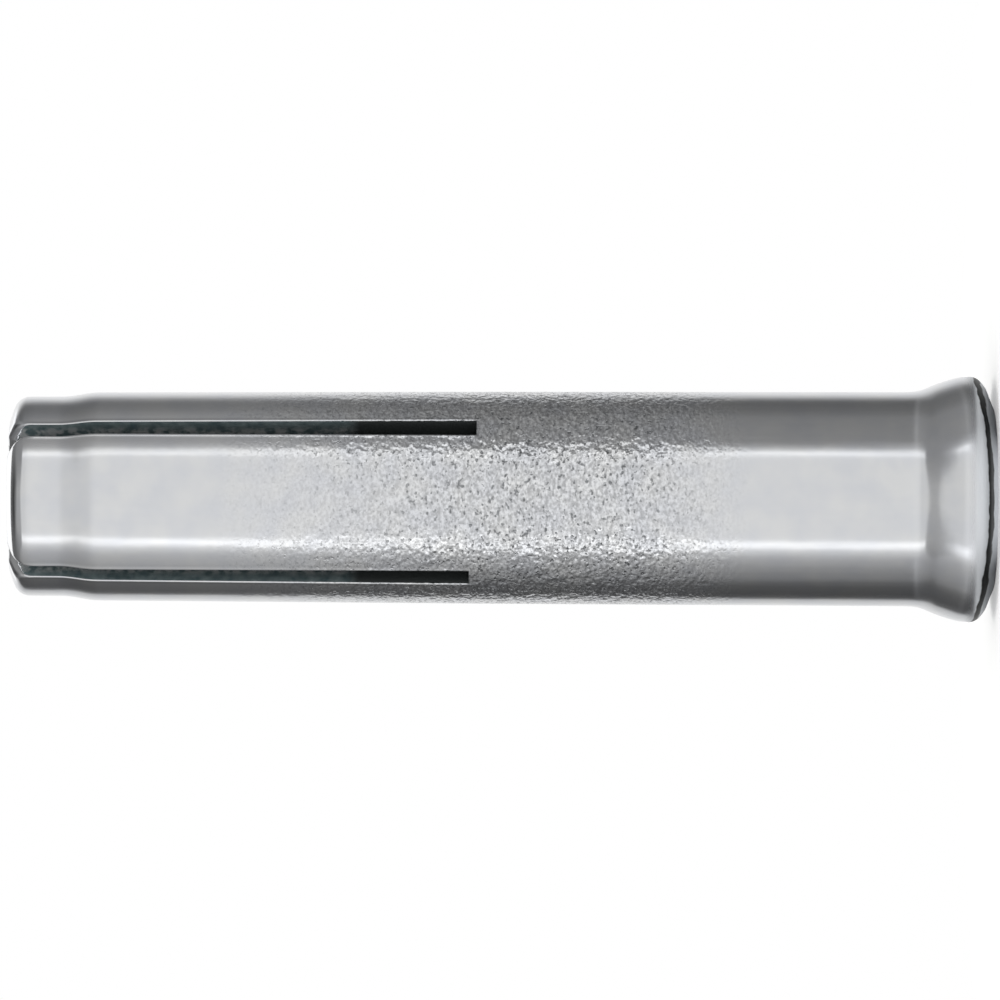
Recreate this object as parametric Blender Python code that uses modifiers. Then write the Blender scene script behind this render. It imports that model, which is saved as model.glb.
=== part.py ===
"""Drop-in anchor: a slotted expansion sleeve with its setting plug, in metres, +Z up.

The anchor stands on the end face of its flared rim, at z = 0, with the slotted front end up.
The sleeve is one turned and cold-formed steel blank. Two saw cuts through its whole width
make the four fingers. The plug lies loose inside, where the bore starts to taper.
"""
import math

import bmesh
import bpy
from mathutils import Matrix

MM = 0.001

# Sleeve, outside
LENGTH = 46.4 * MM
BODY_RADIUS = 5.0 * MM
RIM_END_SWELL = 0.05 * MM
FINGER_PINCH = 0.09 * MM
TIP_STEP = 0.21 * MM
TIP_STEP_LENGTH = 0.5 * MM
TIP_ZONE_LENGTH = 2.9 * MM
TIP_CHAMFER_LENGTH = 0.5 * MM
TIP_CHAMFER_DEPTH = 0.9 * MM
TIP_CORNER = 0.15 * MM

# Flared rim
RIM_FLARE = 0.75 * MM
RIM_BAND_TOP = 1.65 * MM
RIM_CORNER_RADIUS = 0.5 * MM
RIM_CORNER_HEIGHT = 1.2 * MM
RIM_BEVEL = 0.42 * MM
RIM_FLAT_WIDTH = 0.56 * MM
FLARE_LENGTH = 2.6 * MM
FLARE_FILLET_SHARE = 0.28

# Bore, from the rim end to the front
THREAD_MINOR_RADIUS = 3.32 * MM
MOUTH_CHAMFER = 0.43 * MM
THREAD_LENGTH = 16.5 * MM
CHAMBER_WALL = 1.1 * MM
CHAMBER_SHOULDER = 0.5 * MM
TAPER_LENGTH = 15.0 * MM
FRONT_BORE_RADIUS = 2.5 * MM
FRONT_BORE_LENGTH = 0.8 * MM

# Saw slots
SLOT_DEPTH = 22.0 * MM
SECOND_SLOT_SHORTFALL = 0.35 * MM
SLOT_ROOT_WIDTH = 0.90 * MM
SLOT_NARROWING = 0.20 * MM
SLOT_TURN = math.radians(-48.8)
SAW_OVERRUN = 2.0 * MM

# Setting plug
PLUG_LENGTH = 10.3 * MM
PLUG_NOSE_LENGTH = 4.0 * MM
PLUG_EDGE_RADIUS = 0.35 * MM
PLUG_THREAD_CLEARANCE = 0.27 * MM
PLUG_BORE_CLEARANCE = 0.3 * MM

# Sizes that follow from these
RIM_END_RADIUS = BODY_RADIUS + RIM_END_SWELL
RIM_RADIUS = RIM_END_RADIUS + RIM_FLARE
FINGER_RADIUS = BODY_RADIUS - FINGER_PINCH
TIP_RADIUS = FINGER_RADIUS - TIP_STEP
MOUTH_RADIUS = THREAD_MINOR_RADIUS + MOUTH_CHAMFER
CHAMBER_RADIUS = BODY_RADIUS - CHAMBER_WALL
TAPER_END = LENGTH - FRONT_BORE_LENGTH
TAPER_START = TAPER_END - TAPER_LENGTH
TAPER = (CHAMBER_RADIUS - FRONT_BORE_RADIUS) / TAPER_LENGTH
PLUG_RADIUS = THREAD_MINOR_RADIUS - PLUG_THREAD_CLEARANCE
PLUG_NOSE_START = TAPER_START + (CHAMBER_RADIUS - PLUG_RADIUS - PLUG_BORE_CLEARANCE) / TAPER
PLUG_NOSE_END = PLUG_NOSE_START + PLUG_NOSE_LENGTH
PLUG_REAR = PLUG_NOSE_END - PLUG_LENGTH

STEPS = 80
ARC_STEPS = 5


def clear_scene():
    """Remove whatever the scene holds."""
    for item in list(bpy.data.objects):
        bpy.data.objects.remove(item)


def new_collection(name):
    group = bpy.data.collections.new(name)
    bpy.context.scene.collection.children.link(group)
    return group


def steel(name, colour, roughness):
    """A bare metal finish."""
    finish = bpy.data.materials.new(name)
    finish.use_nodes = True
    shader = finish.node_tree.nodes["Principled BSDF"]
    shader.inputs["Base Color"].default_value = (*colour, 1.0)
    shader.inputs["Metallic"].default_value = 1.0
    shader.inputs["Roughness"].default_value = roughness
    return finish


def arc(centre, radius, start, end):
    """Points on a circle in the (radius, height) plane, between two angles in degrees."""
    points = []
    for step in range(ARC_STEPS + 1):
        angle = math.radians(start + (end - start) * step / ARC_STEPS)
        points.append((centre[0] + radius * math.cos(angle), centre[1] + radius * math.sin(angle)))
    return points


def flare():
    """Outer edge of the rim's flare, going down: a hollow fillet, then a crown tangent to the rim band."""
    rise = RIM_RADIUS - RIM_END_RADIUS
    sweep = 2.0 * math.atan2(rise, FLARE_LENGTH)
    both = FLARE_LENGTH / math.sin(sweep)
    fillet = both * FLARE_FILLET_SHARE
    crown = both - fillet
    turn = math.degrees(sweep)
    top = (RIM_END_RADIUS + fillet, RIM_BAND_TOP + FLARE_LENGTH)
    low = (RIM_RADIUS - crown, RIM_BAND_TOP)
    return arc(top, fillet, 180.0, 180.0 + turn) + arc(low, crown, turn, 0.0)[1:]


def rim_end():
    """Lower part of the rim, going down: rounded corner, bevel, sloped face, then the flat it stands on."""
    corner = arc((RIM_RADIUS - RIM_CORNER_RADIUS, RIM_CORNER_HEIGHT), RIM_CORNER_RADIUS, 0.0, -45.0)
    bevel = (corner[-1][0] - RIM_BEVEL, corner[-1][1] - RIM_BEVEL)
    return corner + [bevel, (MOUTH_RADIUS + RIM_FLAT_WIDTH, 0.0)]


def sleeve_section():
    """Closed section of the sleeve: down its outside from the front end, then up the bore."""
    step_top = LENGTH - TIP_ZONE_LENGTH
    chamfer_low = LENGTH - TIP_CORNER - TIP_CHAMFER_LENGTH
    face_radius = TIP_RADIUS - TIP_CHAMFER_DEPTH
    outside = [
        (face_radius - TIP_CORNER, LENGTH),
        (face_radius, LENGTH - TIP_CORNER),
        (TIP_RADIUS - TIP_CORNER, chamfer_low + TIP_CORNER),
        (TIP_RADIUS, chamfer_low),
        (TIP_RADIUS, step_top),
        (FINGER_RADIUS, step_top - TIP_STEP_LENGTH),
        (BODY_RADIUS, LENGTH - SLOT_DEPTH),
    ]
    inside = [
        (MOUTH_RADIUS, 0.0),
        (THREAD_MINOR_RADIUS, MOUTH_CHAMFER),
        (THREAD_MINOR_RADIUS, THREAD_LENGTH),
        (CHAMBER_RADIUS, THREAD_LENGTH + CHAMBER_SHOULDER),
        (CHAMBER_RADIUS, TAPER_START),
        (FRONT_BORE_RADIUS, TAPER_END),
        (FRONT_BORE_RADIUS, LENGTH),
    ]
    return outside + flare() + rim_end() + inside


def plug_section():
    """Open section of the plug: nose face, cone that matches the bore, rounded edges, rear face."""
    nose_radius = PLUG_RADIUS - TAPER * PLUG_NOSE_LENGTH
    nose_corner = (nose_radius - PLUG_EDGE_RADIUS, PLUG_NOSE_END - PLUG_EDGE_RADIUS)
    rear_corner = (PLUG_RADIUS - PLUG_EDGE_RADIUS, PLUG_REAR + PLUG_EDGE_RADIUS)
    nose = [(0.0, PLUG_NOSE_END)] + arc(nose_corner, PLUG_EDGE_RADIUS, 90.0, 0.0)
    rear = arc(rear_corner, PLUG_EDGE_RADIUS, 0.0, -90.0) + [(0.0, PLUG_REAR)]
    return nose + [(PLUG_RADIUS, PLUG_NOSE_START)] + rear


def turned(name, section, closed, group, finish):
    """Revolve a section about the Z axis."""
    mesh = bpy.data.meshes.new(name)
    edges = [(i, i + 1) for i in range(len(section) - 1)]
    if closed:
        edges.append((len(section) - 1, 0))
    mesh.from_pydata([(radius, 0.0, height) for radius, height in section], edges, [])
    body = bpy.data.objects.new(name, mesh)
    group.objects.link(body)
    body.data.materials.append(finish)
    screw = body.modifiers.new("Turn", "SCREW")
    screw.steps = STEPS
    screw.render_steps = STEPS
    screw.use_merge_vertices = True
    screw.merge_threshold = 0.000001
    screw.use_smooth_shade = True
    return body


def saw_cut(index, depth, group):
    """A blade as wide as the slot, narrowing to the front, that passes through the whole sleeve."""
    name = f"saw_cut_{index + 1}"
    mesh = bpy.data.meshes.new(name)
    blade = bmesh.new()
    bmesh.ops.create_cube(blade, size=1.0)
    root = LENGTH - depth
    reach = 2.0 * (RIM_RADIUS + SAW_OVERRUN)
    for corner in blade.verts:
        height = LENGTH + SAW_OVERRUN if corner.co.z > 0.0 else root
        width = SLOT_ROOT_WIDTH - SLOT_NARROWING * (height - root) / depth
        corner.co = (corner.co.x * reach, corner.co.y * width, height)
    blade.to_mesh(mesh)
    blade.free()
    cutter = bpy.data.objects.new(name, mesh)
    cutter.matrix_world = Matrix.Rotation(SLOT_TURN + index * math.pi / 2.0, 4, "Z")
    cutter.hide_render = True
    cutter.display_type = "WIRE"
    group.objects.link(cutter)
    return cutter


def cut(body, cutter):
    """Take the cutter out of the body."""
    boolean = body.modifiers.new(cutter.name, "BOOLEAN")
    boolean.operation = "DIFFERENCE"
    boolean.solver = "EXACT"
    boolean.object = cutter


def build():
    clear_scene()
    parts = new_collection("drop_in_anchor")
    cutters = new_collection("cutters")
    zinc = steel("bright_zinc_plated_steel", (0.62, 0.63, 0.65), 0.28)
    bare = steel("cold_headed_steel", (0.42, 0.43, 0.44), 0.35)
    sleeve = turned("expansion_sleeve", sleeve_section(), True, parts, zinc)
    for index, depth in enumerate((SLOT_DEPTH, SLOT_DEPTH - SECOND_SLOT_SHORTFALL)):
        cut(sleeve, saw_cut(index, depth, cutters))
    turned("expansion_plug", plug_section(), False, parts, bare)


build()
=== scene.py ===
import math

import bmesh
import bpy
import numpy as np
from mathutils import Matrix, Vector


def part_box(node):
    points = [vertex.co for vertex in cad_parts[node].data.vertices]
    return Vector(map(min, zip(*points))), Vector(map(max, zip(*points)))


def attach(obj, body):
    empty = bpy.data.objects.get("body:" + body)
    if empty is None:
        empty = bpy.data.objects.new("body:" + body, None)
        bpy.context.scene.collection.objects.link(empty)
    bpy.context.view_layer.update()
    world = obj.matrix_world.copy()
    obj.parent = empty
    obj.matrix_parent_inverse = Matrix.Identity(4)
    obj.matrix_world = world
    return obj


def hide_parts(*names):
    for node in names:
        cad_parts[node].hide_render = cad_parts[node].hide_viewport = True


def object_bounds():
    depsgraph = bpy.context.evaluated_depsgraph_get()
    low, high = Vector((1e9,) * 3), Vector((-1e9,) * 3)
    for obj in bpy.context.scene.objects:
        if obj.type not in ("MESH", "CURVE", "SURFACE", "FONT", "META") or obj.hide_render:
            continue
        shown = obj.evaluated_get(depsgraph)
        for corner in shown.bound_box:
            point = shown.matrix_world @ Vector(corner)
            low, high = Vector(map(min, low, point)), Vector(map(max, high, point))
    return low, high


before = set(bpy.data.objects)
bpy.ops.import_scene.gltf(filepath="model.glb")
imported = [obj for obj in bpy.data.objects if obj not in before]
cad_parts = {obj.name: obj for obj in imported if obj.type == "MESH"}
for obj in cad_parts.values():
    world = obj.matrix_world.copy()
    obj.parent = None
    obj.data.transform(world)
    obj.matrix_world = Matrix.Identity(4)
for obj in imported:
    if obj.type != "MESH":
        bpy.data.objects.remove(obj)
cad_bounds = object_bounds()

# Camera
# The anchor is seen square-on from the side, through a long lens, with its axis across the
# picture: the slotted end is on the left and the rim on the right. The camera is rolled for
# that, because the anchor itself stands on its rim.
MM = 0.001
PICTURE_SIDE = 1000
PIXELS_PER_MM = 21.18
CAMERA_DISTANCE = 400.0 * MM
RIM_END_PIXEL = 993.5
AXIS_PIXEL = 497.6
AXIS_LEAN = math.radians(0.2)
SENSOR_WIDTH = 36.0

field_width = PICTURE_SIDE / PIXELS_PER_MM * MM
view_height = (RIM_END_PIXEL - PICTURE_SIDE / 2) / PIXELS_PER_MM * MM
view_aside = (AXIS_PIXEL - PICTURE_SIDE / 2) / PIXELS_PER_MM * MM
camera_data = bpy.data.cameras.new("long_lens")
camera_data.sensor_width = SENSOR_WIDTH
camera_data.lens = SENSOR_WIDTH * CAMERA_DISTANCE / field_width
camera_data.clip_start = 10.0 * MM
camera_data.clip_end = 10.0
camera = bpy.data.objects.new("camera", camera_data)
right = (math.sin(AXIS_LEAN), 0.0, -math.cos(AXIS_LEAN))
up = (math.cos(AXIS_LEAN), 0.0, math.sin(AXIS_LEAN))
back = (0.0, -1.0, 0.0)
turn = Matrix((right, up, back)).transposed().to_4x4()
camera.matrix_world = Matrix.Translation((view_aside, -CAMERA_DISTANCE, view_height)) @ turn
bpy.context.scene.collection.objects.link(camera)
bpy.context.scene.camera = camera
bpy.context.scene.view_settings.view_transform = "Standard"

# Studio
# A white floor that fades out for mirrored rays, a white world and a broad lamp overhead. Bare
# metal shows only what stands round it, so its bands of tone are the panels of a light tent: a
# pale front with brighter edges and lower corners, grey flanks, a white back.
FLOOR_RADIUS = 28.0 * MM
FLOOR_DROP = 0.02 * MM
FLOOR_COLOUR = "#F2F2F1"
FLOOR_GLOW = 0.34
FLOOR_FADE = 9.0 * MM
SIDE_RADIUS = 11.0 * MM
SIDE_FADE = 6.3 * MM
# Within CONTACT_SHADE of the rim the floor's glow is taken out of mirrored rays, except straight in front: a
# painted contact shadow that the metal mirrors.
CONTACT_SHADE = 13.0 * MM
FRONT_COSINES = (-0.70, -0.95)
LAMP_SIDE = 500.0 * MM
LAMP_HEIGHT = 420.0 * MM
LAMP_POWER = 1.3
TENT_RADIUS = 500.0 * MM
TENT_TOP = 1.4
TENT_ROUND = ((-180, 0.95), (-165, 0.85), (-142, 0.60), (-136, 0.12), (-126, 0.105), (-110, 0.135),
              (-102, 0.19), (-97, 0.30), (-86, 0.39), (-77, 0.45), (-67, 0.51), (-62, 0.62), (-57, 0.76),
              (-53.5, 1.30), (-48.5, 1.30), (-46, 0.80), (46, 0.78), (48, 1.16), (51.5, 1.16),
              (54, 0.62), (58, 0.45), (63, 0.36), (73, 0.36), (98, 0.32), (111, 0.225), (122, 0.195),
              (130, 0.21), (138, 0.36), (145, 0.60), (153, 0.80), (165, 0.90), (180, 0.95))
TENT_UPPER = ((-180, 0.14), (-115, 0.13), (-95, 0.17), (-65, 0.30), (-50, 0.38), (-25, 0.41), (15, 0.41),
              (30, 0.33), (50, 0.28), (95, 0.25), (115, 0.20), (180, 0.14))
TENT_FRONT_UP = ((-90, 0.5), (-20, 0.9), (0, 1.0), (7, 1.0), (16, 0.86), (90, 0.86))
TENT_SIDE_UP = ((-90, 0.5), (-20, 0.62), (-4.3, 0.67), (-2.4, 0.60), (-0.6, 0.72), (1.5, 0.97), (3, 1.0),
                (7, 0.80), (30, 0.70), (50, 0.70), (90, 1.0))
TENT_SIDES = ((-140, 0.0), (-130, 1.0), (-80, 1.0), (-60, 0.0), (50, 0.0), (60, 1.0), (130, 1.0), (140, 0.0))
TENT_BACK_UP = ((-90, 0.5), (-20, 0.9), (0, 1.0), (24, 1.0), (31, 1.4), (90, 1.4))
TENT_BACK_TURN = (146.0, 156.0)
TENT_EDGE = (44.0, 49.0)
TENT_EDGE_DROP = 10.0
TENT_CORNER = ((-180, 0), (-75, 0), (-60, 11), (-53, 11), (-41, 8), (-27, 4.5), (-17, 2), (-8, 0), (8, 0),
               (17, 2), (27, 4.5), (35, 8), (43, 10.5), (54, 11.5), (60, 11.5), (75, 0), (180, 0))
TENT_ZENITH = ((0, 1.0), (62, 1.0), (78, 0.4), (90, 0.3))


def linear(code):
    """An sRGB hex colour as linear red, green, blue and alpha."""
    parts = np.array([int(code[i:i + 2], 16) for i in (1, 3, 5)]) / 255.0
    parts = np.where(parts <= 0.04045, parts / 12.92, ((parts + 0.055) / 1.055) ** 2.4)
    return (*parts.tolist(), 1.0)


def new_material(name):
    """An empty node material with its output."""
    finish = bpy.data.materials.new(name)
    finish.use_nodes = True
    finish.node_tree.nodes.clear()
    output = finish.node_tree.nodes.new("ShaderNodeOutputMaterial")
    return finish, finish.node_tree, output


def add(tree, kind, inputs=None, **settings):
    """One node with its settings; inputs maps a socket to a value, or to another node's output."""
    node = tree.nodes.new(kind)
    for key, value in settings.items():
        setattr(node, key, value)
    for key, value in (inputs or {}).items():
        if isinstance(value, bpy.types.NodeSocket):
            tree.links.new(value, node.inputs[key])
        else:
            node.inputs[key].default_value = value
    return node


def ramp(tree, factor, stops):
    """A colour ramp through (place from 0 to 1, grey level or colour) stops."""
    node = add(tree, "ShaderNodeValToRGB", {"Fac": factor})
    band = node.color_ramp.elements
    while len(band) < len(stops):
        band.new(1.0)
    for element, (place, level) in zip(band, stops):
        element.position = place
        element.color = level if isinstance(level, tuple) else (level, level, level, 1.0)
    return node.outputs["Color"]


def skin(name, patches, materials, sharp=30.0):
    """One closed mesh from grids of points: each patch is (rows x columns x 3 points, material index)."""
    points, faces, index, start = [], [], [], 0
    for grid, material in patches:
        rows, columns = grid.shape[:2]
        number = start + np.arange(rows * columns).reshape(rows, columns)
        quads = np.stack((number[:-1, :-1], number[:-1, 1:], number[1:, 1:], number[1:, :-1]), axis=-1)
        points.append(grid.reshape(-1, 3))
        faces.append(quads.reshape(-1, 4))
        index.append(np.full(len(faces[-1]), material))
        start += rows * columns
    mesh = bpy.data.meshes.new(name)
    mesh.from_pydata(np.concatenate(points), [], np.concatenate(faces).tolist())
    mesh.polygons.foreach_set("material_index", np.concatenate(index).astype(np.int32))
    work = bmesh.new()
    work.from_mesh(mesh)
    bmesh.ops.remove_doubles(work, verts=work.verts, dist=1e-7)
    bmesh.ops.dissolve_degenerate(work, edges=work.edges, dist=1e-9)
    bmesh.ops.recalc_face_normals(work, faces=work.faces)
    work.to_mesh(mesh)
    work.free()
    mesh.shade_smooth()
    mesh.set_sharp_from_angle(angle=math.radians(sharp))
    for finish in materials:
        mesh.materials.append(finish)
    piece = bpy.data.objects.new(name, mesh)
    bpy.context.scene.collection.objects.link(piece)
    return piece


def turned(profile, columns):
    """A profile of (radius, height) carried round the Z axis: x = r sin a, y = -r cos a, z = h."""
    angle = np.linspace(0.0, 2.0 * np.pi, columns + 1)
    radius, height = profile[:, :1], profile[:, 1:]
    return np.stack((radius * np.sin(angle), -radius * np.cos(angle), height + 0.0 * angle), axis=-1)


middle = (cad_bounds[0][2] + cad_bounds[1][2]) / 2

finish, tree, output = new_material("white_paper_floor")
path_kind = add(tree, "ShaderNodeLightPath")
mirrored = add(tree, "ShaderNodeMath", {0: path_kind.outputs["Is Glossy Ray"],
                                        1: path_kind.outputs["Is Transmission Ray"]}, operation="MAXIMUM")
place = add(tree, "ShaderNodeTexCoord").outputs["Object"]
flat = add(tree, "ShaderNodeVectorMath", {0: place, 1: (1.0, 1.0, 0.0)}, operation="MULTIPLY").outputs[0]
reach = add(tree, "ShaderNodeVectorMath", {0: flat}, operation="LENGTH").outputs["Value"]
# clear is where mirrored rays keep the floor's glow. Near the rim, beside and behind, they lose it: painted
# contact shade seen only in the metal.
clear = add(tree, "ShaderNodeMapRange", {0: reach, 1: cad_bounds[1][0], 2: CONTACT_SHADE},
            interpolation_type="SMOOTHSTEP")
in_front = add(tree, "ShaderNodeSeparateXYZ", {0: flat}).outputs["Y"]
cosine = add(tree, "ShaderNodeMath", {0: in_front, 1: reach}, operation="DIVIDE").outputs[0]
facing = add(tree, "ShaderNodeMapRange", {0: cosine, 1: FRONT_COSINES[0],
                                          2: FRONT_COSINES[1]}).outputs[0]
clear = add(tree, "ShaderNodeMath", {0: clear.outputs[0], 1: facing}, operation="MAXIMUM")
clear = add(tree, "ShaderNodeMath", {0: mirrored.outputs[0], 1: clear.outputs[0]}, operation="MULTIPLY")
seen = add(tree, "ShaderNodeMath", {0: path_kind.outputs["Is Camera Ray"], 1: clear.outputs[0]},
           operation="MAXIMUM")
glow = add(tree, "ShaderNodeMath", {0: seen.outputs[0], 1: FLOOR_GLOW}, operation="MULTIPLY")
paper = add(tree, "ShaderNodeBsdfDiffuse", {"Color": linear(FLOOR_COLOUR)})
lit = add(tree, "ShaderNodeEmission", {"Color": (1.0, 1.0, 1.0, 1.0), "Strength": glow.outputs[0]})
both = add(tree, "ShaderNodeAddShader", {0: paper.outputs[0], 1: lit.outputs[0]})
near = add(tree, "ShaderNodeMapRange", {0: facing, 3: SIDE_FADE, 4: FLOOR_FADE}).outputs[0]
far = add(tree, "ShaderNodeMapRange", {0: facing, 3: SIDE_RADIUS, 4: FLOOR_RADIUS}).outputs[0]
fade = add(tree, "ShaderNodeMapRange", {0: reach, 1: near, 2: far}, interpolation_type="SMOOTHSTEP")
fade = add(tree, "ShaderNodeMath", {0: fade.outputs[0], 1: mirrored.outputs[0]}, operation="MULTIPLY")
nothing = add(tree, "ShaderNodeBsdfTransparent")
sheet = add(tree, "ShaderNodeMixShader", {0: fade.outputs[0], 1: both.outputs[0], 2: nothing.outputs[0]})
tree.links.new(sheet.outputs[0], output.inputs["Surface"])
disc = np.array([[0.0, cad_bounds[0][2] - FLOOR_DROP], [FLOOR_RADIUS, cad_bounds[0][2] - FLOOR_DROP]])
floor = skin("paper_floor", [(turned(disc, 96), 0)], [finish])

finish, tree, output = new_material("light_tent_cloth")
place = add(tree, "ShaderNodeTexCoord").outputs["Object"]
offset = add(tree, "ShaderNodeVectorMath", {0: place, 1: (0.0, 0.0, middle)}, operation="SUBTRACT").outputs[0]
aim = add(tree, "ShaderNodeVectorMath", {0: offset}, operation="NORMALIZE").outputs[0]
axes = add(tree, "ShaderNodeSeparateXYZ", {0: aim}).outputs
ahead = add(tree, "ShaderNodeMath", {0: axes["Y"], 1: -1.0}, operation="MULTIPLY").outputs[0]
bearing = add(tree, "ShaderNodeMath", {0: axes["X"], 1: ahead}, operation="ARCTAN2").outputs[0]
climb = add(tree, "ShaderNodeMath", {0: axes["Z"]}, operation="ARCSINE").outputs[0]
round_share = add(tree, "ShaderNodeMapRange", {0: bearing, 1: -math.pi, 2: math.pi}).outputs[0]
climb_share = add(tree, "ShaderNodeMapRange", {0: climb, 1: -math.pi / 2, 2: math.pi / 2}).outputs[0]
around = ramp(tree, round_share, [((a + 180) / 360, level / TENT_TOP) for a, level in TENT_ROUND])
upper = ramp(tree, round_share, [((a + 180) / 360, level / TENT_TOP ** 2) for a, level in TENT_UPPER])
front_up = ramp(tree, climb_share, [((a + 90) / 180, level / TENT_TOP) for a, level in TENT_FRONT_UP])
back_up = ramp(tree, climb_share, [((a + 90) / 180, level / TENT_TOP) for a, level in TENT_BACK_UP])
zenith = ramp(tree, climb_share, [((a + 90) / 180, level) for a, level in TENT_ZENITH])
turned_away = add(tree, "ShaderNodeMath", {0: bearing}, operation="ABSOLUTE").outputs[0]
front_share = add(tree, "ShaderNodeMapRange", {0: turned_away, 1: math.radians(TENT_BACK_TURN[0]),
                                               2: math.radians(TENT_BACK_TURN[1]), 3: 1.0, 4: 0.0}).outputs[0]
upward = add(tree, "ShaderNodeMix", {"Factor": front_share, 6: back_up, 7: front_up},
             data_type="RGBA").outputs[2]
side_up = ramp(tree, climb_share, [((a + 90) / 180, level / TENT_TOP) for a, level in TENT_SIDE_UP])
side_share = ramp(tree, round_share, [((a + 180) / 360, level) for a, level in TENT_SIDES])
upward = add(tree, "ShaderNodeMix", {"Factor": side_share, 6: upward, 7: side_up},
             data_type="RGBA").outputs[2]
low = add(tree, "ShaderNodeMix", {"Factor": 1.0, 6: around, 7: upward}, data_type="RGBA",
          blend_type="MULTIPLY").outputs[2]
high = add(tree, "ShaderNodeMix", {"Factor": 1.0, 6: upper, 7: zenith}, data_type="RGBA",
           blend_type="MULTIPLY").outputs[2]
lift = add(tree, "ShaderNodeMath", {0: front_share, 1: math.radians(TENT_EDGE_DROP), 2: climb},
           operation="MULTIPLY_ADD").outputs[0]
corner = ramp(tree, round_share, [((a + 180) / 360, drop / 90) for a, drop in TENT_CORNER])
lift = add(tree, "ShaderNodeMath", {0: corner, 1: math.pi / 2, 2: lift},
           operation="MULTIPLY_ADD").outputs[0]
over = add(tree, "ShaderNodeMapRange", {0: lift, 1: math.radians(TENT_EDGE[0]),
                                        2: math.radians(TENT_EDGE[1])})
cloth = add(tree, "ShaderNodeMix", {"Factor": over.outputs[0], 6: low, 7: high}, data_type="RGBA").outputs[2]
shine = add(tree, "ShaderNodeEmission", {"Color": cloth, "Strength": TENT_TOP ** 2})
tree.links.new(shine.outputs[0], output.inputs["Surface"])
rise = np.radians(np.linspace(-90.0, 90.0, 61))
dome = np.stack((TENT_RADIUS * np.cos(rise), middle + TENT_RADIUS * np.sin(rise)), axis=-1)
tent = skin("light_tent", [(turned(dome, 120), 0)], [finish])
tent.visible_camera = False

lamp_data = bpy.data.lights.new("overhead_lamp", "AREA")
lamp_data.size = LAMP_SIDE
lamp_data.energy = LAMP_POWER
lamp = bpy.data.objects.new("overhead_lamp", lamp_data)
lamp.location = (0.0, 0.0, LAMP_HEIGHT)
lamp.visible_glossy = False
bpy.context.scene.collection.objects.link(lamp)

world = bpy.data.worlds.new("white_room")
world.use_nodes = True
world.node_tree.nodes["Background"].inputs["Color"].default_value = (1.0, 1.0, 1.0, 1.0)
world.node_tree.nodes["Background"].inputs["Strength"].default_value = 1.0
bpy.context.scene.world = world

# Expansion sleeve
# One piece of cold-formed steel, turned, bored from the rim end and tapped, its rim flared by
# upsetting, then sawn twice across to leave four fingers, and zinc plated. Its skin is one
# grid that runs up the outside and back down the bore, with a sawn wall on each finger's side.
BODY_RADIUS = 5.0
NECK_RADIUS = 5.05
RIM_RADIUS = 5.80
FINGER_RADIUS = 4.91
TIP_RADIUS = 4.70
STEP_LENGTH = 1.8
STEP_FROM_TIP = 3.3
TIP_BEND = 0.72
TIP_BEND_DEGREES = 70.0
TIP_FACE_RADIUS = 3.60
RIM_TURN = ((3.75, 0.0), (4.25, 0.0), (4.40, 0.08), (4.78, 0.24), (5.24, 0.41), (5.56, 0.64), (5.74, 0.87),
            (5.795, 1.0), (RIM_RADIUS, 1.1))
FLARE_SLOPES = ((1.1, 2.0), (1.6, 7.0), (1.8, 13.0), (1.95, 16.0), (2.83, 20.2), (2.95, 23.5), (3.05, 25.0),
                (3.2, 23.5), (3.33, 20.2), (3.54, 15.8), (3.7, 8.0), (4.0, 2.0), (4.6, 0.0))
MOUTH_RADIUS = 3.75
THREAD_MINOR = 3.32
THREAD_MAJOR = 4.0
THREAD_PITCH = 1.25
THREAD_LENGTH = 16.5
THREAD_RUN_OUT = 0.9
CHAMBER_RADIUS = 3.9
TAPER_LENGTH = 15.0
FRONT_BORE_RADIUS = 2.5
FRONT_BORE_LENGTH = 0.8
SLOT_DEPTH = 22.0
SLOT_SHORTFALL = 0.35
SLOT_ROOT_WIDTH = 0.90
SLOT_TIP_WIDTH = 0.70
SLOT_TURN = math.radians(41.2)
EDGE_ROUND = 0.06
CORNER_BLUR = 0.10
length = (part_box("expansion_sleeve")[1][2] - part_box("expansion_sleeve")[0][2]) / MM
slot_root = length - SLOT_DEPTH + SLOT_SHORTFALL / 2


def arc(radius, height, bend, start, end, count=12):
    """Points of a circle of radius bend about (radius, height), between two angles in degrees."""
    angle = np.radians(np.linspace(start, end, count))
    return np.stack((radius + bend * np.cos(angle), height + bend * np.sin(angle)), axis=-1)


def worn(profile, blur):
    """The profile walked in equal small steps, with its corners rounded by a Gaussian of width blur."""
    step = 0.02
    walked = np.concatenate(([0.0], np.cumsum(np.hypot(*np.diff(profile, axis=0).T))))
    places = np.linspace(0.0, walked[-1], int(walked[-1] / step) + 1)
    dense = np.stack([np.interp(places, walked, profile[:, i]) for i in (0, 1)], axis=-1)
    reach = int(4 * blur / step)
    bell = np.exp(-0.5 * (np.arange(-reach, reach + 1) * step / blur) ** 2)
    bell /= bell.sum()
    before = 2 * dense[:1] - dense[reach:0:-1]
    after = 2 * dense[-1:] - dense[-2:-reach - 2:-1]
    padded = np.concatenate((before, dense, after))
    return np.stack([np.convolve(padded[:, i], bell, mode="valid") for i in (0, 1)], axis=-1)


def picked(profile, spacing):
    """Points of a dense profile, as far apart as spacing(radius, height) says."""
    gap = np.hypot(*np.diff(profile, axis=0).T)
    wanted = spacing(profile[:-1, 0], profile[:-1, 1])
    count = np.concatenate(([0.0], np.cumsum(gap / wanted)))
    places = np.linspace(0.0, count[-1], int(round(count[-1])) + 1)
    return np.stack([np.interp(places, count, profile[:, i]) for i in (0, 1)], axis=-1)


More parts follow.
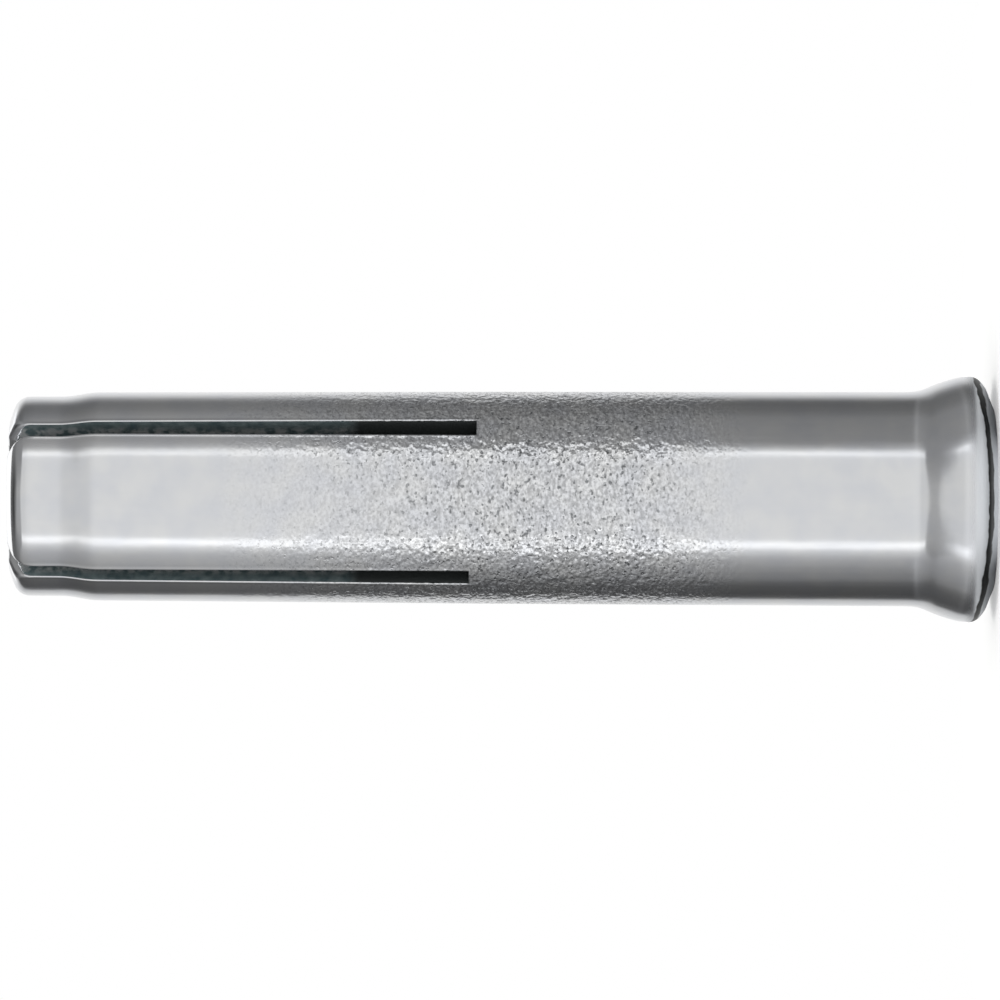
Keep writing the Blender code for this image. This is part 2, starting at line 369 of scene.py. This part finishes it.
flare_height, flare_degrees = np.array(FLARE_SLOPES).T
rise = np.linspace(flare_height[0], flare_height[-1], 141)
fall = np.cumsum(np.tan(np.radians(np.interp(rise, flare_height, flare_degrees))))
fall = (fall - fall[0]) / (fall[-1] - fall[0])
flare = np.stack((RIM_RADIUS + (NECK_RADIUS - RIM_RADIUS) * fall, rise), axis=-1)
outside = np.concatenate((np.array(RIM_TURN), flare, [[BODY_RADIUS, slot_root]]))
face_middle = (TIP_FACE_RADIUS + FRONT_BORE_RADIUS) / 2
step_share = np.linspace(0.0, 1.0, 25)
step_middle = length - STEP_FROM_TIP
step = np.stack((
    FINGER_RADIUS + (TIP_RADIUS - FINGER_RADIUS) * (1.0 - np.cos(np.pi * step_share)) / 2,
    step_middle + (step_share - 0.5) * STEP_LENGTH,
), axis=-1)
bend = arc(TIP_RADIUS - TIP_BEND, 0.0, TIP_BEND, 0.0, TIP_BEND_DEGREES)
slope_height = (bend[-1, 0] - TIP_FACE_RADIUS) / math.tan(math.radians(TIP_BEND_DEGREES))
bend[:, 1] += length - slope_height - bend[-1, 1]
finger_outside = np.concatenate((
    [[BODY_RADIUS, slot_root]],
    step,
    bend,
    [[TIP_FACE_RADIUS, length], [face_middle, length]],
))
finger_inside = np.array([
    [CHAMBER_RADIUS, slot_root],
    [CHAMBER_RADIUS, length - FRONT_BORE_LENGTH - TAPER_LENGTH],
    [FRONT_BORE_RADIUS, length - FRONT_BORE_LENGTH],
    [FRONT_BORE_RADIUS, length],
    [face_middle, length],
])

FINGER_COLUMNS = 21
EDGE_DISTANCES = (0.0, 0.012, 0.03, 0.06, 0.11, 0.18, 0.28, 0.42)
EDGE_TIP_ROUND = 0.42
BURR_HEIGHT = 0.02
BURR_WIDTH = 0.11
SLOT_COLUMNS = 4
WALL_COLUMNS = 3
BODY_ROWS = 0.25
RIM_ROWS = 0.09
THREAD_ROWS = 0.125
TIP_POINTS = 32
PEEL_HEIGHT = 0.0025
PEEL_WAVES = 40
PEEL_LOW = 12.5
PEEL_HIGH = 34.5
PEEL_FADE = 4.0

half_arc = BODY_RADIUS * (math.pi / 4 - math.asin(SLOT_ROOT_WIDTH / 2 / BODY_RADIUS))
edge_shares = 1.0 - np.array(EDGE_DISTANCES) / half_arc
inner_shares = np.linspace(-edge_shares[-1], edge_shares[-1], FINGER_COLUMNS)[1:-1]
across = np.concatenate((-edge_shares, inner_shares, edge_shares[::-1]))
chance = np.random.default_rng(7)
peel_turns = chance.integers(-60, 61, PEEL_WAVES)
peel_rates = chance.uniform(-11.0, 11.0, PEEL_WAVES)
peel_phases = chance.uniform(0.0, 2.0 * np.pi, PEEL_WAVES)


def placed(radius, height, angle):
    """Millimetres to metres, x = r sin a and y = -r cos a; one pair of slots is a little deeper, so
    heights near the slot roots shift by a cosine of twice the angle that fades in 4 mm."""
    near_root = np.clip(1.0 - np.abs(height - slot_root) / 4.0, 0.0, 1.0)
    height = height - SLOT_SHORTFALL / 2 * np.cos(2.0 * (angle - SLOT_TURN)) * near_root
    points = np.broadcast_arrays(radius * np.sin(angle), -radius * np.cos(angle), height)
    return np.stack(points, axis=-1) * MM


def peel(angle, height):
    """Height of the orange peel left by cold forming: a sum of random waves inside a smooth window."""
    window = np.clip(np.minimum(height - PEEL_LOW, PEEL_HIGH - height) / PEEL_FADE, 0.0, 1.0)
    phase = angle[..., None] * peel_turns + height[..., None] * peel_rates + peel_phases
    return PEEL_HEIGHT * window * np.sin(phase).sum(axis=-1) / math.sqrt(PEEL_WAVES)


def spread(profile, count):
    """A dense profile as count points, equally far apart."""
    walked = np.concatenate(([0.0], np.cumsum(np.hypot(*np.diff(profile, axis=0).T))))
    places = np.linspace(0.0, walked[-1], count)
    return np.stack([np.interp(places, walked, profile[:, i]) for i in (0, 1)], axis=-1)


def ring(profile, slot_angle, rough):
    """A closed ring of columns round the Z axis, whose columns bunch at the slots as on the fingers."""
    slot_shares = np.linspace(-1.0, 1.0, SLOT_COLUMNS + 1)[1:-1]
    angles = []
    for finger in range(4):
        centre = SLOT_TURN + math.pi / 4 + finger * math.pi / 2
        angles.append(centre + across * (math.pi / 4 - slot_angle))
        angles.append(centre + math.pi / 4 + slot_shares * slot_angle)
    angles.append(angles[0][:, :1] + 2.0 * math.pi)
    angle = np.concatenate(angles, axis=1)
    radius, height = profile[:, :1] + 0.0 * angle, profile[:, 1:] + 0.0 * angle
    if rough:
        radius = radius + peel(angle, height)
    return placed(radius, height, angle)


def finger_face(profile, centre, side):
    """One face of a finger: the profile spread between two parallel slot walls, its edges rounded off.
    side is 1 on the outside and -1 in the bore, and turns the face's normal."""
    radius, height = profile[:, :1], profile[:, 1:]
    width = SLOT_ROOT_WIDTH + (SLOT_TIP_WIDTH - SLOT_ROOT_WIDTH) * (height - slot_root) / (length - slot_root)
    angle = centre + across * (math.pi / 4 - np.arcsin(width / 2 / radius))
    run = np.gradient(profile, axis=0)
    normal = side * np.stack((run[:, 1], -run[:, 0]), axis=-1) / np.hypot(*run.T)[:, None]
    walked = np.concatenate(([0.0], np.cumsum(np.hypot(*np.diff(profile, axis=0).T))))[:, None]
    near_tip = np.clip((height - length + 1.1) / 0.9, 0.0, 1.0)
    bend = EDGE_ROUND + (EDGE_TIP_ROUND - EDGE_ROUND) * near_tip ** 2 * (3.0 - 2.0 * near_tip)
    from_edge = np.clip(bend - (1.0 - np.abs(across)) * half_arc, 0.0, bend)
    drop = bend - np.sqrt(bend ** 2 - from_edge ** 2)
    drop = drop * np.clip(walked / 0.15, 0.0, 1.0)
    ridge = np.clip(1.0 - ((1.0 - np.abs(across)) * half_arc - EDGE_ROUND) / BURR_WIDTH, 0.0, 1.0)
    burr = BURR_HEIGHT * ridge * np.clip(walked / 0.15, 0.0, 1.0) * (side > 0)
    burr = burr * np.clip((length - 0.3 - height) / 0.5, 0.0, 1.0)
    radius = radius - normal[:, :1] * (drop - burr)
    height = height - normal[:, 1:] * (drop - burr)
    if side > 0:
        radius = radius + peel(angle, height)
    return placed(radius, height, angle)


def between(first, second, columns):
    """Straight columns from one row of points to another."""
    share = np.linspace(0.0, 1.0, columns + 1)[:, None]
    return first[:, None] * (1.0 - share) + second[:, None] * share


split = length - FRONT_BORE_LENGTH
outer_dense = worn(finger_outside, CORNER_BLUR)
inner_dense = worn(finger_inside, CORNER_BLUR)
levels = np.concatenate((
    np.arange(slot_root, step_middle - 1.0, BODY_ROWS),
    np.arange(step_middle - 1.0, step_middle + 1.0, 0.08),
    np.arange(step_middle + 1.0, split, BODY_ROWS),
))
outer_low = np.stack((np.interp(levels, outer_dense[:, 1], outer_dense[:, 0]), levels), axis=-1)
inner_low = np.stack((np.interp(levels, inner_dense[:, 1], inner_dense[:, 0]), levels), axis=-1)
outer_path = np.concatenate((outer_low, spread(outer_dense[outer_dense[:, 1] > split - 0.02], TIP_POINTS)))
inner_path = np.concatenate((inner_low, spread(inner_dense[inner_dense[:, 1] > split - 0.02], TIP_POINTS)))

outside_rows = picked(worn(outside, CORNER_BLUR),
                      lambda radius, height: np.where(height < 4.6, RIM_ROWS, BODY_ROWS))
bore = np.array([
    [MOUTH_RADIUS, 0.0],
    [THREAD_MINOR, MOUTH_RADIUS - THREAD_MINOR],
    [THREAD_MINOR, THREAD_LENGTH],
    [CHAMBER_RADIUS, THREAD_LENGTH + 0.5],
    [CHAMBER_RADIUS, slot_root],
])
bore_rows = picked(spread(bore, 4000),
                   lambda radius, height: np.where(height < THREAD_LENGTH, THREAD_ROWS, 0.4))
outer_slot = np.full((len(outside_rows), 1), math.asin(SLOT_ROOT_WIDTH / 2 / BODY_RADIUS))
inner_slot = math.asin(SLOT_ROOT_WIDTH / 2 / CHAMBER_RADIUS)
late = np.clip((bore_rows[:, 1:] - THREAD_LENGTH - 1.0) / 5.0, 0.0, 1.0)
bore_slot = outer_slot[0, 0] + (inner_slot - outer_slot[0, 0]) * late
outer_ring = ring(outside_rows, outer_slot, True)
bore_ring = ring(bore_rows, bore_slot, False)

# The thread is a 60 degree groove wound to the right: its depth depends on the phase
# z / pitch - a / one turn. It runs in under the mouth's chamfer and out at the chamber.
GROOVE_WIDTH = 0.75
GROOVE_FLAT = 0.125
thread_angle = np.arctan2(bore_ring[..., 0], -bore_ring[..., 1])
thread_height = bore_ring[..., 2] / MM
phase = (thread_height / THREAD_PITCH - thread_angle / (2.0 * np.pi)) % 1.0
from_groove = np.abs(2.0 * phase - 1.0)
groove = np.clip((GROOVE_WIDTH - from_groove) / (GROOVE_WIDTH - GROOVE_FLAT), 0.0, 1.0)
groove = groove * np.clip((thread_height - 0.15) / 0.7, 0.0, 1.0)
groove = groove * np.clip((THREAD_LENGTH - thread_height) / THREAD_RUN_OUT, 0.0, 1.0)
bore_radius = np.hypot(bore_ring[..., 0], bore_ring[..., 1]) / MM
cut = np.maximum(bore_radius, THREAD_MINOR + (THREAD_MAJOR - THREAD_MINOR) * groove)
cut = np.where(thread_height < THREAD_LENGTH, cut, bore_radius)
bore_ring[..., :2] *= (cut / bore_radius)[..., None]

ZINC, SAWN, BORED = 0, 1, 2
patches = [(outer_ring, ZINC), (bore_ring, BORED)]
columns = len(across) + SLOT_COLUMNS - 1
for finger in range(4):
    centre = SLOT_TURN + math.pi / 4 + finger * math.pi / 2
    outer_face = finger_face(outer_path, centre, 1)
    inner_face = finger_face(inner_path, centre, -1)
    patches += [(outer_face, ZINC), (inner_face, BORED)]
    for edge in (0, -1):
        patches.append((between(outer_face[:, edge], inner_face[:, edge], WALL_COLUMNS), SAWN))
    slot = slice(finger * columns + len(across) - 1, (finger + 1) * columns + 1)
    patches.append((between(outer_ring[-1, slot], bore_ring[-1, slot], WALL_COLUMNS), SAWN))


def zinc_plating():
    """Bright zinc on cold-formed steel: a bluish mirror with orange peel and small pits at mid length,
    where the blank was squeezed least, the pits painted darker as painted shade, faint streaks along the
    axis from the die, and a nearly black line painted at the lap where the upset rim folded over its turned
    edge, painted shade for a crease the mesh does not have, lower in front and behind than at the sides."""
    finish, tree, output = new_material("bright_zinc_plating")
    place = add(tree, "ShaderNodeTexCoord").outputs["Object"]
    axes = add(tree, "ShaderNodeSeparateXYZ", {0: place}).outputs
    rise = add(tree, "ShaderNodeMapRange", {0: axes["Z"], 1: 11.0 * MM, 2: 18.0 * MM},
               interpolation_type="SMOOTHSTEP")
    fall = add(tree, "ShaderNodeMapRange", {0: axes["Z"], 1: 38.5 * MM, 2: 22.0 * MM},
               interpolation_type="SMOOTHSTEP")
    zone = add(tree, "ShaderNodeMath", {0: rise.outputs[0], 1: fall.outputs[0]},
               operation="MULTIPLY").outputs[0]
    squeezed = add(tree, "ShaderNodeVectorMath", {0: place, 1: (1.0, 1.0, 1.3)},
                   operation="MULTIPLY").outputs[0]
    grain = add(tree, "ShaderNodeTexNoise", {"Vector": squeezed, "Scale": 1 / (0.23 * MM),
                                             "Detail": 2.0}).outputs[0]
    pits = add(tree, "ShaderNodeMapRange", {0: grain, 1: 0.29, 2: 0.42},
               interpolation_type="SMOOTHSTEP").outputs[0]
    pitted = add(tree, "ShaderNodeBump", {"Height": pits, "Strength": zone,
                                          "Distance": 0.018 * MM}).outputs[0]
    cells = add(tree, "ShaderNodeTexNoise", {"Vector": squeezed, "Scale": 1 / (0.35 * MM),
                                             "Detail": 1.5}).outputs[0]
    rough = add(tree, "ShaderNodeBump", {"Height": cells, "Strength": zone, "Distance": 0.070 * MM,
                                         "Normal": pitted}).outputs[0]
    lumps = add(tree, "ShaderNodeTexNoise", {"Vector": place, "Scale": 1 / (1.6 * MM),
                                             "Detail": 2.0}).outputs[0]
    wavy = add(tree, "ShaderNodeBump", {"Height": lumps, "Strength": 1.0, "Distance": 0.008 * MM,
                                        "Normal": rough}).outputs[0]
    drawn = add(tree, "ShaderNodeVectorMath", {0: place, 1: (1.0, 1.0, 0.06)},
                operation="MULTIPLY").outputs[0]
    streaks = add(tree, "ShaderNodeTexNoise", {"Vector": drawn, "Scale": 1 / (0.25 * MM),
                                               "Detail": 2.0}).outputs[0]
    matt = add(tree, "ShaderNodeMapRange", {0: streaks, 1: 0.3, 2: 0.7, 3: 0.13, 4: 0.18}).outputs[0]
    tone = ramp(tree, lumps, ((0.35, linear("#E4E6EA")), (0.65, linear("#EBECED"))))
    # The dents of the pit bump are also painted darker grey: painted shade in the pits.
    pit_painted_shade = add(tree, "ShaderNodeMath", {0: 1.0, 1: pits}, operation="SUBTRACT").outputs[0]
    pit_painted_shade = add(tree, "ShaderNodeMath", {0: pit_painted_shade, 1: zone}, operation="MULTIPLY").outputs[0]
    pit_painted_shade = add(tree, "ShaderNodeMath", {0: pit_painted_shade, 1: 0.85}, operation="MULTIPLY").outputs[0]
    tone = add(tree, "ShaderNodeMix", {"Factor": pit_painted_shade, 6: tone, 7: linear("#84878A")},
               data_type="RGBA").outputs[2]
    fine = add(tree, "ShaderNodeTexNoise", {"Vector": squeezed, "Scale": 1 / (0.18 * MM),
                                            "Detail": 1.0}).outputs[0]
    mottle = add(tree, "ShaderNodeMapRange", {0: fine, 1: 0.33, 2: 0.67, 3: 0.70, 4: 1.20}).outputs[0]
    mottle = add(tree, "ShaderNodeMix", {"Factor": zone, 2: 1.0, 3: mottle}).outputs[0]
    tone = add(tree, "ShaderNodeVectorMath", {0: tone, "Scale": mottle}, operation="SCALE").outputs[0]
    # A nearly black line painted round the rim at the lap: painted shade for a crease that the mesh does not
    # have.
    side = add(tree, "ShaderNodeMath", {0: axes["X"], 1: 5.4 * MM}, operation="DIVIDE").outputs[0]
    side = add(tree, "ShaderNodeMath", {0: side, 1: 2.0}, operation="POWER").outputs[0]
    wander = add(tree, "ShaderNodeTexNoise", {"Vector": place, "Scale": 1 / (1.1 * MM),
                                              "Detail": 3.0}).outputs[0]
    lap = add(tree, "ShaderNodeMath", {0: side, 1: 0.48 * MM, 2: 0.22 * MM},
              operation="MULTIPLY_ADD").outputs[0]
    lap = add(tree, "ShaderNodeMath", {0: wander, 1: 0.30 * MM, 2: lap}, operation="MULTIPLY_ADD").outputs[0]
    apart = add(tree, "ShaderNodeMath", {0: axes["Z"], 1: lap}, operation="SUBTRACT").outputs[0]
    apart = add(tree, "ShaderNodeMath", {0: apart}, operation="ABSOLUTE").outputs[0]
    lap_painted_shade = add(tree, "ShaderNodeMapRange", {0: apart, 1: 0.115 * MM, 2: 0.16 * MM, 3: 1.0, 4: 0.0}).outputs[0]
    flat = add(tree, "ShaderNodeVectorMath", {0: place, 1: (1.0, 1.0, 0.0)},
               operation="MULTIPLY").outputs[0]
    radius = add(tree, "ShaderNodeVectorMath", {0: flat}, operation="LENGTH").outputs["Value"]
    outer = add(tree, "ShaderNodeMath", {0: radius, 1: 4.5 * MM}, operation="GREATER_THAN").outputs[0]
    lap_painted_shade = add(tree, "ShaderNodeMath", {0: lap_painted_shade, 1: outer}, operation="MULTIPLY").outputs[0]
    rolled = add(tree, "ShaderNodeMapRange", {0: axes["Z"], 1: 1.50 * MM, 2: 1.00 * MM}).outputs[0]
    matt = add(tree, "ShaderNodeMix", {"Factor": rolled, 2: matt, 3: 0.38}).outputs[0]
    tone = add(tree, "ShaderNodeMix", {"Factor": rolled, 6: tone, 7: linear("#D6D9DD")},
               data_type="RGBA").outputs[2]
    tone = add(tree, "ShaderNodeMix", {"Factor": lap_painted_shade, 6: tone, 7: linear("#1A1C1C")},
               data_type="RGBA").outputs[2]
    shader = add(tree, "ShaderNodeBsdfPrincipled", {"Base Color": tone, "Metallic": 1.0, "Roughness": matt,
                                                    "Normal": wavy})
    tree.links.new(shader.outputs[0], output.inputs["Surface"])
    return finish


def sawn_steel():
    """Sawn slot wall: dull steel with a green-grey film of saw oil and plating salts, painted lighter in
    patches towards the bore as a painted highlight, and painted dark towards the slot's root as painted
    shade."""
    finish, tree, output = new_material("sawn_steel_in_slot")
    place = add(tree, "ShaderNodeTexCoord").outputs["Object"]
    axes = add(tree, "ShaderNodeSeparateXYZ", {0: place}).outputs
    # From the slot's root up to about 30 mm the wall is painted dark grey: painted shade deep in the slot.
    share = add(tree, "ShaderNodeMapRange", {0: axes["Z"], 1: 29.9 * MM, 2: 30.5 * MM}).outputs[0]
    flat = add(tree, "ShaderNodeCombineXYZ", {0: axes["X"], 1: axes["Y"]}).outputs[0]
    radius = add(tree, "ShaderNodeVectorMath", {0: flat}, operation="LENGTH").outputs["Value"]
    film = add(tree, "ShaderNodeTexNoise", {"Vector": place, "Scale": 1 / (0.5 * MM),
                                            "Detail": 3.0}).outputs[0]
    # Patches of the wall towards the bore are painted light grey: a painted highlight.
    deep = add(tree, "ShaderNodeMapRange", {0: radius, 1: 4.55 * MM, 2: 4.25 * MM}).outputs[0]
    patchy = add(tree, "ShaderNodeMapRange", {0: film, 1: 0.42, 2: 0.58}).outputs[0]
    bore_side_painted_highlight = add(tree, "ShaderNodeMath", {0: deep, 1: patchy}, operation="MULTIPLY").outputs[0]
    oily = ramp(tree, film, ((0.3, linear("#6F8286")), (0.7, linear("#A4B2B4"))))
    film_and_painted_highlight = add(tree, "ShaderNodeMix", {"Factor": bore_side_painted_highlight, 6: oily, 7: linear("#D8DADA")},
                      data_type="RGBA").outputs[2]
    tone = add(tree, "ShaderNodeMix", {"Factor": share, 6: linear("#5A5F5F"), 7: film_and_painted_highlight},
               data_type="RGBA").outputs[2]
    marks = add(tree, "ShaderNodeVectorMath", {0: place, 1: (0.1, 0.1, 1.0)}, operation="MULTIPLY").outputs[0]
    teeth = add(tree, "ShaderNodeTexNoise", {"Vector": marks, "Scale": 1 / (0.12 * MM),
                                             "Detail": 1.0}).outputs[0]
    scored = add(tree, "ShaderNodeBump", {"Height": teeth, "Strength": 0.6, "Distance": 0.02 * MM}).outputs[0]
    shader = add(tree, "ShaderNodeBsdfPrincipled", {"Base Color": tone, "Metallic": 0.6, "Roughness": 0.42,
                                                    "Normal": scored})
    tree.links.new(shader.outputs[0], output.inputs["Surface"])
    return finish


def bored_steel():
    """Bored and tapped steel: thinly plated, duller than the outside, with fine turning marks."""
    finish, tree, output = new_material("tapped_bore_steel")
    place = add(tree, "ShaderNodeTexCoord").outputs["Object"]
    marks = add(tree, "ShaderNodeVectorMath", {0: place, 1: (0.15, 0.15, 1.0)},
                operation="MULTIPLY").outputs[0]
    lines = add(tree, "ShaderNodeTexNoise", {"Vector": marks, "Scale": 1 / (0.08 * MM),
                                             "Detail": 1.0}).outputs[0]
    turned_marks = add(tree, "ShaderNodeBump", {"Height": lines, "Strength": 0.3,
                                                "Distance": 0.01 * MM}).outputs[0]
    tone = ramp(tree, lines, ((0.3, linear("#A9ACAE")), (0.7, linear("#B9BBBC"))))
    shader = add(tree, "ShaderNodeBsdfPrincipled", {"Base Color": tone, "Metallic": 1.0, "Roughness": 0.32,
                                                    "Normal": turned_marks})
    tree.links.new(shader.outputs[0], output.inputs["Surface"])
    return finish


sleeve = skin("zinc_plated_sleeve", patches, [zinc_plating(), sawn_steel(), bored_steel()], sharp=50.0)
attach(sleeve, "root")
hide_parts("expansion_sleeve")

# Setting plug
# A short steel slug, cold headed, with rounded edges and a conical nose that matches the
# tapering bore. It lies loose inside the fingers and shows only through the slots and ends.
PLUG_EDGE = 0.35
PLUG_NOSE_LENGTH = 4.0
PLUG_NOSE_TAPER = 1.4 / 15.0
PLUG_DIMPLE_RADIUS = 1.3
PLUG_DIMPLE_DEPTH = 0.12
plug_low, plug_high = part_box("expansion_plug")
plug_radius = (plug_high[0] - plug_low[0]) / 2 / MM
plug_rear, plug_front = plug_low[2] / MM, plug_high[2] / MM
nose_radius = plug_radius - PLUG_NOSE_LENGTH * PLUG_NOSE_TAPER
plug_profile = np.concatenate((
    [[0.0, plug_rear + PLUG_DIMPLE_DEPTH], [PLUG_DIMPLE_RADIUS, plug_rear]],
    arc(plug_radius - PLUG_EDGE, plug_rear + PLUG_EDGE, PLUG_EDGE, -90.0, 0.0),
    [[plug_radius, plug_front - PLUG_NOSE_LENGTH]],
    arc(nose_radius - PLUG_EDGE, plug_front - PLUG_EDGE, PLUG_EDGE, 0.0, 90.0),
    [[0.0, plug_front]],
))


def headed_steel():
    """Cold-headed steel: bare, grey and lightly oiled, with fine scratches along the axis from the die."""
    finish, tree, output = new_material("cold_headed_steel")
    place = add(tree, "ShaderNodeTexCoord").outputs["Object"]
    drawn = add(tree, "ShaderNodeVectorMath", {0: place, 1: (1.0, 1.0, 0.08)},
                operation="MULTIPLY").outputs[0]
    lines = add(tree, "ShaderNodeTexNoise", {"Vector": drawn, "Scale": 1 / (0.12 * MM),
                                             "Detail": 2.0}).outputs[0]
    scratched = add(tree, "ShaderNodeBump", {"Height": lines, "Strength": 0.4,
                                             "Distance": 0.01 * MM}).outputs[0]
    tone = ramp(tree, lines, ((0.3, linear("#AEB1B2")), (0.7, linear("#C4C6C7"))))
    shader = add(tree, "ShaderNodeBsdfPrincipled", {"Base Color": tone, "Metallic": 1.0, "Roughness": 0.30,
                                                    "Normal": scratched})
    tree.links.new(shader.outputs[0], output.inputs["Surface"])
    return finish


plug_rows = picked(spread(plug_profile, 1500), lambda radius, height: 0.12 + 0.0 * radius)
plug = skin("setting_plug", [(turned(plug_rows * MM, 96), 0)], [headed_steel()])
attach(plug, "root")
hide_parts("expansion_plug")
